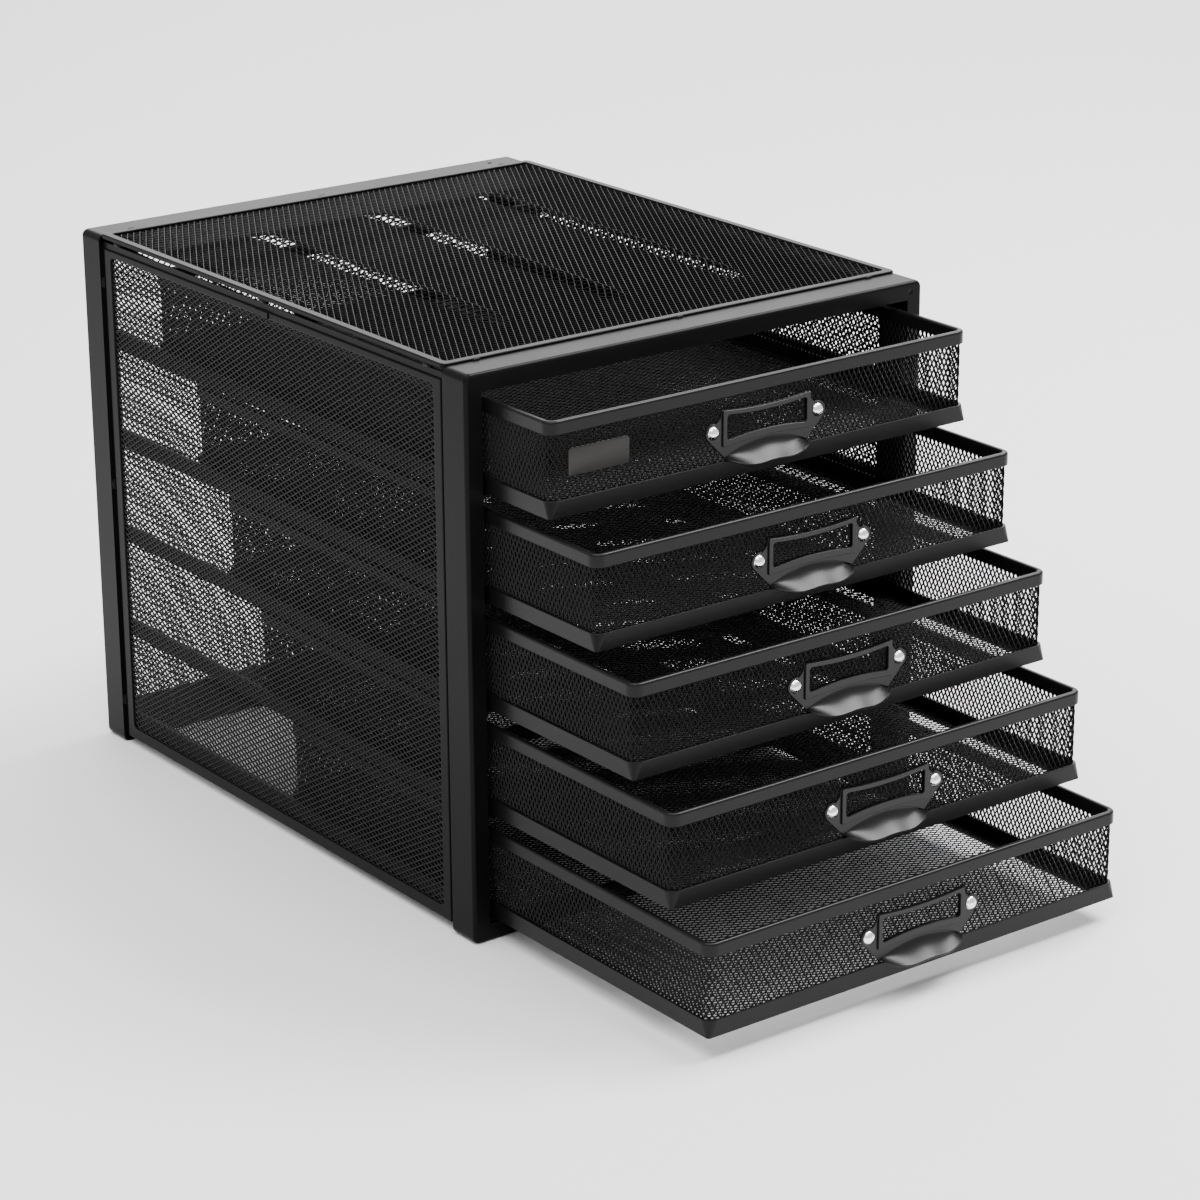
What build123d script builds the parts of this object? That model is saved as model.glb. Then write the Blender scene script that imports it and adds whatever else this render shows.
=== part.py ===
from build123d import *
import math
import os

# A desk cabinet of black steel and expanded metal mesh with five pull-out drawers.
# Millimetres. X runs to the right seen from the front, Y to the back, Z up.
# The origin is the middle of the front frame's underside.
# The mesh sheets have the outline of the real ones; a coarse grid of diamond openings stands
# for the fine mesh.

# Cabinet
cabinet_width = 272.0
cabinet_depth = 344.0
cabinet_height = 279.0
steel = 1.2

# Front and rear frame: hoops of L section, the flange faces out
frame_skirt = 18.0
frame_flange = 9.0
frame_corner = 3.5
frame_fold = 1.8
spot_weld_radius = 3.0
spot_weld_depth = 0.45
spot_weld_corner_inset = (7.4, 5.0)
spot_weld_end_inset = 20.0

# Mesh sheets and the folded hems that grip their edges
mesh_thickness = 0.8
mesh_grip = 2.5
hem_thickness = 2.0
hem_edge_round = 0.6
hem_setback = 1.0

# Openings of the sheets: staggered diamonds with a web between them
opening_web = 5.0
smallest_opening = 30.0
top_grid = (8, 6)
side_grid = (6, 8)
back_grid = (8, 6)
floor_grid = (4, 8)
wall_front_grid = (10, 1)
wall_side_grid = (12, 1)
bead_clearance = 2.0
rivet_seat_radius = 4.5
wall_field_margin = 1.0
floor_field_margin = 2.0

# Side panels: the hem's raised face stops short of the frames and of the top
side_hem_foot = 6.5
side_hem_end = 6.2
side_hem_top = 3.6
side_lap = 1.5
side_groove = 3.0
side_top_setback = 3.2
side_top_gap = 2.2
side_bottom = 4.3
side_corner = 4.0
side_window_corner = 2.5
strip_lap_length = 12.0
strip_lap_thickness = 0.6
strip_lap_inset = 0.3

# Back panel
back_hem = 11.0
back_lap = 3.0
back_corner = 3.0
back_window_corner = 1.5

# Top panel: a rolled rim round a mesh with three pressed beads
rim_width = 4.4
rim_thickness = 2.2
rim_rise = 1.0
rim_corner = 3.0
rim_round = 0.6
rim_side_inset = 1.0
rim_end_gap = 0.3
rim_grip = 2.4
bead_spacing = 70.0
bead_count = 3
bead_width = 9.0
bead_height = 3.0
bead_taper = 14.0
bead_front = 60.0
bead_length = 218.0

# Weld beads along the seams
weld_radius = 1.8
rim_weld_radius = 1.1
weld_length = 2.5
top_weld_span = 117.0
side_weld_ends = 33.0
front_weld_heights = (257.0, 143.0, 18.0)
rear_weld_heights = (254.0, 145.0, 24.0)

# Runners: angles fixed inside the side panels, one under each edge of each drawer
runner_steel = 1.0
runner_leg = 10.0
runner_ledge = 14.0
runner_fold = 1.6
running_gap = 0.3

# Drawers
drawer_extensions = (46.7, 80.4, 107.1, 134.0, 160.6)
drawer_side_gap = 3.0
drawer_back_gap = 1.8
gap_under_lowest = 2.0
gap_over_highest = 4.0
gap_between = 7.5
drawer_corner = 5.5
drawer_steel = 1.2
drawer_rim_height = 6.5
drawer_rim_thickness = 3.2
drawer_rim_round = 1.3
base_height = 8.0
base_toe_corner = 1.5
base_flange = 6.0
base_opening_corner = 1.0
base_edge_round = 0.4

# Handle plate, heights above its own lower corners
handle_over_base = 1.5
handle_steel = 1.0
handle_half = 24.5
ear_reach = 31.0
ear_height = 13.0
ear_radius = 4.5
ear_neck_angle = 113.0
ear_neck_hollow = 0.8
label_half = 26.0
label_bottom = 5.6
label_top = 23.1
label_bow = 1.4
label_raise = 1.0
label_border = 2.3
window_bottom = 8.6
window_bow = 1.8
window_corner = 1.6

# Finger scoop of the handle
scoop_half = 24.0
scoop_arch = 5.9
scoop_reach = 8.0
scoop_fullness = 2.5
scoop_lip_drop = 2.5
scoop_lip_wave = 0.9
scoop_lip_end = 0.2
scoop_root = 0.6
scoop_stations = (0.0, 0.3, 0.6, 0.8, 0.93, 0.99)

# Rivets
rivet_head_radius = 3.25
rivet_head_height = 2.0
rivet_shank_radius = 1.5
rivet_tail_radius = 2.5
rivet_tail_height = 0.8

# Places that follow from the sizes
front_face = -frame_skirt / 2
rear_face = front_face + cabinet_depth
front_skirt_end = front_face + frame_skirt
rear_skirt_end = rear_face - frame_skirt
middle_y = (front_face + rear_face) / 2
inner_side = cabinet_width / 2 - steel
hem_inner_side = inner_side - hem_thickness
back_front_face = rear_face - steel - hem_thickness
opening_height = cabinet_height - 2 * frame_flange
side_top = cabinet_height - steel - side_top_gap

drawer_count = len(drawer_extensions)
drawer_width = cabinet_width - 2 * (frame_flange + drawer_side_gap)
drawer_length = back_front_face - drawer_back_gap - front_face
drawer_stack = opening_height - gap_under_lowest - gap_over_highest
drawer_height = (drawer_stack - (drawer_count - 1) * gap_between) / drawer_count
drawer_pitch = drawer_height + gap_between
lowest_drawer = frame_flange + gap_under_lowest

wall_inset = drawer_steel
floor_inset = wall_inset + mesh_thickness
plate_back = wall_inset
plate_front = plate_back - handle_steel
handle_bottom = base_height + handle_over_base


def upright(sketch, y_front, depth):
    """A sketch drawn in X and Z, standing at y_front and carried back by depth."""
    return extrude(Plane.XZ.offset(-y_front) * sketch, amount=depth, dir=(0, 1, 0))


def flat(sketch, z_bottom, height):
    """A sketch drawn in X and Y, lying at z_bottom and carried up by height."""
    return extrude(Plane.XY.offset(z_bottom) * sketch, amount=height, dir=(0, 0, 1))


def diamond_grid(field, grid):
    """Staggered diamonds that fill a field, cut off at its edge; grid counts them across and up."""
    box = field.bounding_box()
    columns, rows = grid
    half_x = box.size.X / columns / 2
    half_y = box.size.Y / rows / 2
    shrink = 1 - opening_web / 2 / (half_x * half_y / math.hypot(half_x, half_y))
    x = half_x * shrink
    y = half_y * shrink
    diamond = Polygon((-x, 0), (0, -y), (x, 0), (0, y), align=None)
    places = GridLocations(2 * half_x, 2 * half_y, columns, rows).locations
    places = places + GridLocations(2 * half_x, 2 * half_y, columns + 1, rows + 1).locations
    diamonds = Sketch() + [Pos(*box.center()) * place * diamond for place in places]
    openings = diamonds & field
    return Sketch() + [opening for opening in openings.faces() if opening.area > smallest_opening]


# Frames

def frame_hoop():
    """The front frame: a hoop of L section with a rounded fold."""
    middle = Pos(0, cabinet_height / 2)
    inner_width = cabinet_width - 2 * steel
    inner_height = cabinet_height - 2 * steel
    outer = upright(middle * RectangleRounded(cabinet_width, cabinet_height, frame_corner), front_face, frame_skirt)
    outer = fillet(outer.faces().sort_by(Axis.Y)[0].edges(), frame_fold)
    hollow_sketch = middle * RectangleRounded(inner_width, inner_height, frame_corner - steel)
    hollow = upright(hollow_sketch, front_face + steel, frame_skirt - steel)
    hollow = fillet(hollow.faces().sort_by(Axis.Y)[0].edges(), frame_fold - steel)
    window_width = cabinet_width - 2 * frame_flange
    window = upright(middle * Rectangle(window_width, opening_height), front_face, frame_skirt)
    return outer - hollow - window


def spot_weld_mark(x, y, z, outward):
    """The ball that presses a shallow round mark into a face at x, y, z."""
    sink = spot_weld_radius - spot_weld_depth
    return Pos(x, y, z) * Pos(*(sink * axis for axis in outward)) * Sphere(spot_weld_radius)


def front_frame():
    inset_x, inset_z = spot_weld_corner_inset
    mark = spot_weld_mark(cabinet_width / 2 - inset_x, front_face, cabinet_height - inset_z, (0, -1, 0))
    return frame_hoop() - mark


def rear_frame():
    hoop = Pos(0, front_face + rear_face, 0) * mirror(frame_hoop(), about=Plane.XZ)
    x = cabinet_width / 2 - spot_weld_end_inset
    return hoop - spot_weld_mark(x, rear_face - frame_skirt / 2, cabinet_height, (0, 0, 1))


# Side and back panels

def hemmed_panel(plane, outline, window, grid, sunk=None):
    """A mesh sheet and its folded hem; the plane lies on the hem's outer face and looks out.

    The hem fills the outline round the window, set back where sunk says.
    """
    ring = extrude(plane * (outline - window), amount=-hem_thickness)
    if sunk:
        ring = ring - extrude(plane * sunk, amount=-hem_setback)
    outer_faces = ring.faces().group_by(Axis(plane.origin, plane.z_dir))[-1]
    ring = fillet(outer_faces.sort_by(SortBy.AREA)[-1].edges(), hem_edge_round)
    box = window.bounding_box()
    sheet = Pos(*box.center()) * Rectangle(box.size.X + 2 * mesh_grip, box.size.Y + 2 * mesh_grip)
    mesh_face = (hem_thickness - mesh_thickness) / 2
    mesh = extrude(plane.offset(-mesh_face) * sheet, amount=-mesh_thickness)
    openings = extrude(plane * diamond_grid(window, grid), amount=-hem_thickness)
    return ring - mesh, mesh - openings


def side_panel(frames):
    """The left panel, its hem lapped inside the skirts of both frames and set back beside them."""
    length = rear_skirt_end - front_skirt_end + 2 * side_lap
    height = side_top - side_bottom
    origin = (-inner_side, middle_y, side_bottom + height / 2)
    plane = Plane(origin=origin, x_dir=(0, -1, 0), z_dir=(-1, 0, 0))
    end_border = side_lap + side_groove + side_hem_end
    top_border = side_top_setback + side_hem_top
    window_height = height - top_border - side_hem_foot
    window = RectangleRounded(length - 2 * end_border, window_height, side_window_corner)
    window = Pos(0, (side_hem_foot - top_border) / 2) * window
    outline = RectangleRounded(length, height, side_corner)
    sunk = Pos(0, (height - side_top_setback) / 2) * Rectangle(length, side_top_setback)
    for end in (-1, 1):
        middle = end * (length / 2 - side_lap - side_groove / 2)
        sunk = sunk + Pos(middle, 0) * Rectangle(side_groove, height)
    hem, mesh = hemmed_panel(plane, outline, window, side_grid, sunk)
    for frame in frames:
        hem = hem - frame
    lap_height = side_hem_top - 2 * strip_lap_inset
    lap_z = side_top - side_top_setback - side_hem_top / 2
    lap_x = -inner_side - strip_lap_thickness / 2
    strip_lap = Pos(lap_x, middle_y, lap_z) * Box(strip_lap_thickness, strip_lap_length, lap_height)
    return hem + strip_lap, mesh


def back_panel():
    """The rear mesh, its hem against the inside of the rear frame's flange."""
    width = cabinet_width - 2 * frame_flange + 2 * back_lap
    height = opening_height + 2 * back_lap
    origin = (0, rear_face - steel, cabinet_height / 2)
    plane = Plane(origin=origin, x_dir=(1, 0, 0), z_dir=(0, 1, 0))
    window = RectangleRounded(width - 2 * back_hem, height - 2 * back_hem, back_window_corner)
    outline = RectangleRounded(width, height, back_corner)
    return hemmed_panel(plane, outline, window, back_grid)


# Top panel

def bead_form(width, height, length, taper):
    """A half-round ridge along Y with sloping ends, its base centred on the origin."""
    arch = ThreePointArc((-width / 2, 0), (0, height), (width / 2, 0))
    section = make_face(arch + Line((width / 2, 0), (-width / 2, 0)))
    ridge = upright(section, -length / 2, length)
    side = Polygon((-length / 2, 0), (-length / 2 + taper, height), (length / 2 - taper, height), (length / 2, 0),
                   align=None)
    return ridge & extrude(Plane.YZ.offset(-width / 2) * side, amount=width, dir=(1, 0, 0))


def top_panel():
    """The rolled rim of the top and its mesh with the pressed beads."""
    top = cabinet_height + rim_rise
    width = cabinet_width - 2 * rim_side_inset
    length = rear_skirt_end - front_skirt_end - 2 * rim_end_gap
    middle = Pos(0, middle_y)
    inner = RectangleRounded(width - 2 * rim_width, length - 2 * rim_width, rim_corner / 2)
    ring = flat(middle * (RectangleRounded(width, length, rim_corner) - inner), top - rim_thickness, rim_thickness)
    ring = fillet(ring.faces().sort_by(Axis.Z)[-1].edges(), rim_round)
    mesh_z = top - (rim_thickness + mesh_thickness) / 2
    grip = rim_width - rim_grip
    sheet = flat(middle * Rectangle(width - 2 * grip, length - 2 * grip), mesh_z, mesh_thickness)
    rim = ring - sheet
    bead_middle = front_face + bead_front + bead_length / 2
    solid_width = bead_width + 2 * bead_clearance
    solid_length = bead_length + 2 * bead_clearance
    field = middle * Rectangle(width - 2 * rim_width, length - 2 * rim_width)
    outer = bead_form(bead_width, bead_height, bead_length, bead_taper)
    inner_width = bead_width - 2 * mesh_thickness
    inner_length = bead_length - 2 * mesh_thickness
    hollow = bead_form(inner_width, bead_height - mesh_thickness, inner_length, bead_taper)
    openings = diamond_grid(field, top_grid)
    bead_lines = [(number - (bead_count - 1) / 2) * bead_spacing for number in range(bead_count)]
    for x in bead_lines:
        openings = openings - Pos(x, bead_middle) * Rectangle(solid_width, solid_length)
    openings = Sketch() + [opening for opening in openings.faces() if opening.area > smallest_opening]
    sheet = sheet - flat(openings, mesh_z, mesh_thickness)
    for x in bead_lines:
        place = Pos(x, bead_middle, mesh_z + mesh_thickness)
        slot_under = Pos(0, 0, -mesh_thickness / 2) * Box(inner_width, inner_length - 2 * bead_taper, mesh_thickness)
        sheet = sheet + place * outer
        sheet = sheet - place * hollow - place * slot_under
    return rim, sheet


# Welds

def weld_bead(centre, along, radius, room):
    """One tack weld: a rounded bead along a seam, kept to the room between the pieces it joins."""
    start = Vector(*centre) - Vector(*along) * (weld_length / 2)
    bead = extrude(Plane(origin=start, z_dir=along) * Circle(radius), amount=weld_length, dir=along)
    for end in (-1, 1):
        bead = bead + Pos(*(Vector(*centre) + Vector(*along) * (weld_length / 2 * end))) * Sphere(radius)
    return (bead & room).solid()


def corner_room(centre, toward):
    """The open quarter round a seam's inner corner: a block on the side that toward points to."""
    size = weld_length + 4 * weld_radius
    middle = Vector(*centre) + Vector(*toward) * (size / 2)
    return Pos(*middle) * Box(size, size, size)


def top_welds():
    """Beads from the top rim to both frames, and in the slots over both side panels."""
    beads = []
    for end, skirt_end in ((1, front_skirt_end), (-1, rear_skirt_end)):
        for x in (-top_weld_span, 0, top_weld_span):
            corner = (x, skirt_end + end * rim_end_gap, cabinet_height)
            room = corner_room(corner, (0, -end, 1))
            beads.append(weld_bead(corner, (1, 0, 0), rim_weld_radius, room))
    slot_top = cabinet_height + rim_rise - rim_thickness
    slot_middle = (side_top + slot_top) / 2
    slot = Pos(0, middle_y, slot_middle) * Box(cabinet_width, cabinet_depth, slot_top - side_top)
    reach = middle_y - front_face - side_weld_ends
    for side in (-1, 1):
        for y in (middle_y - reach, middle_y, middle_y + reach):
            centre = (side * (inner_side - weld_radius), y, slot_middle)
            beads.append(weld_bead(centre, (0, 1, 0), weld_radius, slot))
    return Compound(beads)


def side_welds(side):
    """Beads in the grooves between a side panel and the skirts of both frames."""
    seams = ((front_skirt_end, 1, front_weld_heights), (rear_skirt_end, -1, rear_weld_heights))
    beads = []
    for seam_y, inward, heights in seams:
        for z in heights:
            corner = (side * (inner_side - hem_setback), seam_y, z)
            beads.append(weld_bead(corner, (0, 0, 1), weld_radius, corner_room(corner, (side, inward, 0))))
    return Compound(beads)


# Runners

def runner(side, ledge_top):
    """A folded angle from the front flange to the back panel, its leg against the side hem."""
    outer_x = hem_inner_side
    base = ledge_top - runner_steel
    leg = Pos(outer_x - runner_steel / 2, base + runner_leg / 2) * Rectangle(runner_steel, runner_leg)
    ledge = Pos(outer_x - runner_ledge / 2, base + runner_steel / 2) * Rectangle(runner_ledge, runner_steel)
    section = leg + ledge
    heel = section.vertices().sort_by_distance((outer_x, base, 0))[0]
    section = fillet(heel, runner_fold)
    bend = section.vertices().sort_by_distance((outer_x - runner_steel, ledge_top, 0))[0]
    section = fillet(bend, runner_fold - runner_steel)
    start = front_face + steel
    angle = upright(section, start, back_front_face - start)
    if side < 0:
        return mirror(angle, about=Plane.YZ)
    return angle


# Drawers, each drawn with its front face at Y 0, its underside at Z 0

def drawer_outline(inset, corner=drawer_corner):
    """The drawer's plan, drawn in by an inset all round."""
    plan = RectangleRounded(drawer_width - 2 * inset, drawer_length - 2 * inset, corner - inset)
    return Pos(0, drawer_length / 2) * plan


def wall_openings(length, grid):
    """The openings of one wall between the foot band and the rim, drawn from the drawer's underside up."""
    low = base_height + wall_field_margin
    high = drawer_height - drawer_rim_height - wall_field_margin
    field = Pos(0, (low + high) / 2) * Rectangle(length - 2 * drawer_corner, high - low)
    return diamond_grid(field, grid)


def drawer_walls():
    """One strip of mesh round all four sides, with the holes of the handle's rivets."""
    strip = drawer_outline(wall_inset) - drawer_outline(floor_inset)
    walls = flat(strip, drawer_steel, drawer_height - 2 * drawer_steel)
    across = wall_openings(drawer_width, wall_front_grid)
    along = wall_openings(drawer_length, wall_side_grid)
    walls = walls - upright(across, drawer_length - drawer_corner, drawer_corner)
    walls = walls - extrude(
        Plane(origin=(-drawer_width / 2, drawer_length / 2, 0), x_dir=(0, 1, 0), z_dir=(1, 0, 0)) * along,
        amount=drawer_width, dir=(1, 0, 0))
    holes = Sketch()
    for x in (-ear_reach, ear_reach):
        seat = Pos(x, handle_bottom + ear_height)
        across = across - seat * Circle(rivet_seat_radius)
        holes = holes + seat * Circle(rivet_shank_radius)
    return walls - upright(across + holes, 0, drawer_corner)


def drawer_floor():
    """The mesh floor, lying on the base band's flange between the walls."""
    floor = flat(drawer_outline(floor_inset), drawer_steel, mesh_thickness)
    border = 2 * (base_flange + floor_field_margin)
    field = Pos(0, drawer_length / 2) * Rectangle(drawer_width - border, drawer_length - border)
    return floor - flat(diamond_grid(field, floor_grid), drawer_steel, mesh_thickness)


def drawer_rim(walls):
    """The rolled band that grips the upper edge of the walls."""
    ring = drawer_outline(0) - drawer_outline(drawer_rim_thickness)
    rim = flat(ring, drawer_height - drawer_rim_height, drawer_rim_height)
    rim = fillet(rim.faces().sort_by(Axis.Z)[-1].edges(), drawer_rim_round)
    lower_outer = rim.faces().sort_by(Axis.Z)[0].outer_wire().edges()
    rim = fillet(lower_outer, base_edge_round)
    return rim - walls


def drawer_base():
    """The band round the foot: sharp at the toe, rounded above, turned in under the floor."""
    toe = drawer_outline(0, base_toe_corner)
    shoulder = Plane.XY.offset(base_height) * drawer_outline(0)
    band = loft([toe.face(), shoulder.face()], ruled=True)
    band = fillet(band.faces().sort_by(Axis.Z)[-1].edges(), base_edge_round)
    hollow = flat(drawer_outline(wall_inset), drawer_steel, base_height)
    opening = flat(drawer_outline(base_flange, base_flange + base_opening_corner), 0, drawer_steel)
    return band - hollow - opening


# Handle plate, drawn with X across, Z above its lower corners and Y 0 on the drawer's front face

def plate_outline():
    """The plate's edge: bowed top, hollowed neck, round ear, slanted foot and the scoop's arch."""
    ear = Vector(ear_reach, ear_height)
    foot = Vector(handle_half, 0)
    top_corner = Vector(label_half, label_top)
    neck_turn = math.radians(ear_neck_angle)
    neck = ear + Vector(math.cos(neck_turn), math.sin(neck_turn)) * ear_radius
    to_foot = foot - ear
    tangent_turn = math.atan2(to_foot.Y, to_foot.X) + math.acos(ear_radius / to_foot.length)
    ear_end = ear + Vector(math.cos(tangent_turn), math.sin(tangent_turn)) * ear_radius
    crown_turn = (neck_turn + tangent_turn) / 2
    crown = ear + Vector(math.cos(crown_turn), math.sin(crown_turn)) * ear_radius
    neck_slope = (neck - top_corner).normalized()
    hollow = (top_corner + neck) * 0.5 + Vector(neck_slope.Y, -neck_slope.X) * ear_neck_hollow
    side = ThreePointArc(top_corner, hollow, neck) + ThreePointArc(neck, crown, ear_end) + Line(ear_end, foot)
    top = ThreePointArc((-label_half, label_top), (0, label_top - label_bow), (label_half, label_top))
    arch = ThreePointArc((-handle_half, 0), (0, scoop_arch), (handle_half, 0))
    return make_face(side + mirror(side, about=Plane.YZ) + top + arch)


def bowed_panel(half, bottom, top, bottom_bow, top_bow, inset=0):
    """A panel with straight sides, its lower edge bowed up and its upper edge bowed down."""
    x = half - inset
    low = bottom + inset
    high = top - inset
    lower = ThreePointArc((-x, low), (0, low + bottom_bow), (x, low))
    upper = ThreePointArc((-x, high), (0, high - top_bow), (x, high))
    return make_face(lower + upper + Line((-x, low), (-x, high)) + Line((x, low), (x, high)))


def scoop_section(share):
    """The scoop's bent strip at a share of its half width: down from the arch, out to the lip."""
    x = share * scoop_half
    across = abs(share)
    arch_radius = (handle_half ** 2 + scoop_arch ** 2) / (2 * scoop_arch)
    arch_z = scoop_arch - arch_radius + math.sqrt(arch_radius ** 2 - x ** 2)
    reach = scoop_reach * (1 - across ** scoop_fullness) ** (1 / scoop_fullness)
    lip_rise = (scoop_lip_drop - scoop_lip_end) * across ** 3
    lip_z = lip_rise - scoop_lip_drop - scoop_lip_wave * math.sin(math.pi * across) ** 2
    root_z = arch_z + scoop_root
    under_z = lip_z - handle_steel
    front = -plate_front
    back = -plate_back
    outline = (
        Line((back, root_z), (front, root_z))
        + Line((front, root_z), (front, arch_z))
        + Bezier((front, arch_z), (front, lip_z), (reach, lip_z))
        + ThreePointArc((reach, lip_z), (reach + handle_steel / 2, (lip_z + under_z) / 2), (reach, under_z))
        + Bezier((reach, under_z), (back, under_z), (back, arch_z))
        + Line((back, arch_z), (back, root_z))
    )
    return Plane(origin=(x, 0, 0), x_dir=(0, -1, 0), z_dir=(-1, 0, 0)) * make_face(outline)


def finger_scoop():
    """The pull pressed out of the plate, lofted from one corner across to the other."""
    shares = [-share for share in reversed(scoop_stations[1:])] + list(scoop_stations)
    return loft([scoop_section(share).face() for share in shares])


def handle_plate():
    """The pressed plate: ears, raised label frame with its window, and the finger scoop."""
    plate = upright(plate_outline(), plate_front, handle_steel)
    frame_sketch = bowed_panel(label_half, label_bottom, label_top, label_bow, label_bow)
    frame_front = plate_front - label_raise
    raised = upright(frame_sketch, frame_front, label_raise + handle_steel)
    pocket_sketch = bowed_panel(label_half, label_bottom, label_top, label_bow, label_bow, handle_steel)
    pocket = upright(pocket_sketch, frame_front + handle_steel, label_raise)
    window_half = label_half - label_border
    window_top = label_top - label_border
    window_sketch = bowed_panel(window_half, window_bottom, window_top, window_bow, label_bow)
    window_sketch = fillet(window_sketch.vertices(), window_corner)
    window = upright(window_sketch, frame_front, label_raise + handle_steel)
    handle = plate + raised + finger_scoop()
    handle = handle - pocket - window
    for x in (-ear_reach, ear_reach):
        handle = handle - upright(Pos(x, ear_height) * Circle(rivet_shank_radius), plate_front, handle_steel)
    return Pos(0, 0, handle_bottom) * handle


def rivet():
    """A domed rivet through the ear and the mesh, flattened inside."""
    grip = handle_steel + mesh_thickness
    dome_radius = (rivet_head_radius ** 2 + rivet_head_height ** 2) / (2 * rivet_head_height)
    dome_middle = rivet_head_height - dome_radius
    bend = math.asin(rivet_head_radius / dome_radius) / 2
    shoulder = (dome_radius * math.sin(bend), dome_middle + dome_radius * math.cos(bend))
    tail_end = -grip - rivet_tail_height
    dome = ThreePointArc((0, rivet_head_height), shoulder, (rivet_head_radius, 0))
    stem = Polyline((rivet_head_radius, 0), (rivet_shank_radius, 0), (rivet_shank_radius, -grip),
                    (rivet_tail_radius, -grip), (rivet_tail_radius, tail_end), (0, tail_end), (0, rivet_head_height))
    profile = Plane.XZ * make_face(dome + stem)
    return Rot(90, 0, 0) * revolve(profile, axis=Axis.Z)


def rivet_pair():
    places = [Pos(x, plate_front, handle_bottom + ear_height) for x in (-ear_reach, ear_reach)]
    return Compound([(place * rivet()).solid() for place in places])


def drawer_pieces():
    """Every piece of one drawer, by the last part of its name."""
    walls = drawer_walls()
    return {
        "walls": walls,
        "floor": drawer_floor(),
        "rim": drawer_rim(walls),
        "base": drawer_base(),
        "handle": handle_plate(),
        "rivets": rivet_pair(),
    }


def cabinet_pieces():
    """Every fixed piece, by name."""
    frames = (front_frame(), rear_frame())
    left_hem, left_mesh = side_panel(frames)
    back_hem_ring, back_mesh = back_panel()
    rim, top_mesh = top_panel()
    pieces = {
        "front_frame": frames[0],
        "rear_frame": frames[1],
        "top_rim": rim,
        "top_mesh": top_mesh,
        "left_hem": left_hem,
        "left_mesh": left_mesh,
        "right_hem": mirror(left_hem, about=Plane.YZ),
        "right_mesh": mirror(left_mesh, about=Plane.YZ),
        "back_hem": back_hem_ring,
        "back_mesh": back_mesh,
        "top_welds": top_welds(),
        "left_welds": side_welds(-1),
        "right_welds": side_welds(1),
    }
    for number in range(drawer_count):
        ledge_top = drawer_bottom(number) - running_gap
        pieces[f"runner_left_{number + 1}"] = runner(-1, ledge_top)
        pieces[f"runner_right_{number + 1}"] = runner(1, ledge_top)
    return pieces


def drawer_bottom(number):
    """The height of a drawer's underside; number 0 is the top drawer."""
    return lowest_drawer + (drawer_count - 1 - number) * drawer_pitch


def all_pieces():
    """The whole cabinet with its drawers as far out as they stand at rest."""
    pieces = cabinet_pieces()
    drawer = drawer_pieces()
    for number, extension in enumerate(drawer_extensions):
        place = Pos(0, front_face - extension, drawer_bottom(number))
        for name, piece in drawer.items():
            pieces[f"drawer_{number + 1}_{name}"] = place * piece
    return pieces


os.makedirs("parts", exist_ok=True)
for node, shape in all_pieces().items():
    export_step(shape, f"parts/{node}.step")
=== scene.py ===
"""A desktop cabinet of black steel and expanded metal with five pull-out drawers.

The frames, hems, runners and rims come with the frame.  This script gives them their
finishes, weaves the expanded metal that fills the panels and drawers, presses the handle
plates, smooths the rivets, adds the bare plate on the top drawer, and sets up the studio.
"""

import logging
import math
from dataclasses import asdict, dataclass, field, fields, replace
from enum import Enum
from typing import ClassVar, Optional, Sequence

import bpy
import bmesh
from mathutils import Matrix, Vector
from mathutils.geometry import tessellate_polygon


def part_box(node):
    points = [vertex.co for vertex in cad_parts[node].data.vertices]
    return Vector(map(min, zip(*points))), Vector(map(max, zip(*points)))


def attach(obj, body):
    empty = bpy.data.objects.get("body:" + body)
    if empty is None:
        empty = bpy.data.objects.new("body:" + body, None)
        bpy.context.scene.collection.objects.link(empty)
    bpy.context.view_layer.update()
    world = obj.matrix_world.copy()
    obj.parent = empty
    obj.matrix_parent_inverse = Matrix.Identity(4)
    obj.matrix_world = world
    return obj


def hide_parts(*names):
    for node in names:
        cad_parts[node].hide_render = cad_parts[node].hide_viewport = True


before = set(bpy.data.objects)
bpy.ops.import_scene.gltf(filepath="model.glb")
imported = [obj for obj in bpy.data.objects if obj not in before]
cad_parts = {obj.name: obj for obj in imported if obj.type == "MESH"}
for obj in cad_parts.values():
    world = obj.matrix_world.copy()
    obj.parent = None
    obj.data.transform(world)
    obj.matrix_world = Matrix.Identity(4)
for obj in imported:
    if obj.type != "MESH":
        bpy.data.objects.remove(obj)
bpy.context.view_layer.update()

log = logging.getLogger("mesh_drawers")
logging.basicConfig(level=logging.INFO, format="%(name)s: %(message)s")

Colour = tuple[float, float, float, float]
Triple = tuple[float, float, float]

MM = 0.001
QUARTER_TURN = math.radians(90)
DRAWER_COUNT = 5
DRAWERS = [f"drawer_{number}" for number in range(1, DRAWER_COUNT + 1)]
# How deep the middle of the woven strands lies in one of the frame's sheets.
SHEET_MIDDLE = 0.4 * MM


# ---------------------------------------------------------------- shared helpers


def node_size(node: str) -> tuple[Vector, Vector]:
    """Give a node's lowest and highest corner.

    Args:
        node: The node's name in the frame.

    Returns:
        Its lowest and highest corners at rest, in metres.
    """
    low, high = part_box(node)
    return Vector(low), Vector(high)


def to_middle(node: str) -> Matrix:
    """Give the move that takes the origin to a node's middle."""
    low, high = node_size(node)
    return Matrix.Translation((low + high) / 2)


def join_rings(work: bmesh.types.BMesh, rings: Sequence[Sequence[bmesh.types.BMVert]]) -> None:
    """Skin the gaps between closed rings of equal counts, each with the next.

    Args:
        work: The mesh under construction.
        rings: The rings in order.
    """
    for near, far in zip(rings, rings[1:]):
        for index in range(len(near)):
            work.faces.new((near[index - 1], near[index], far[index], far[index - 1]))


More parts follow.
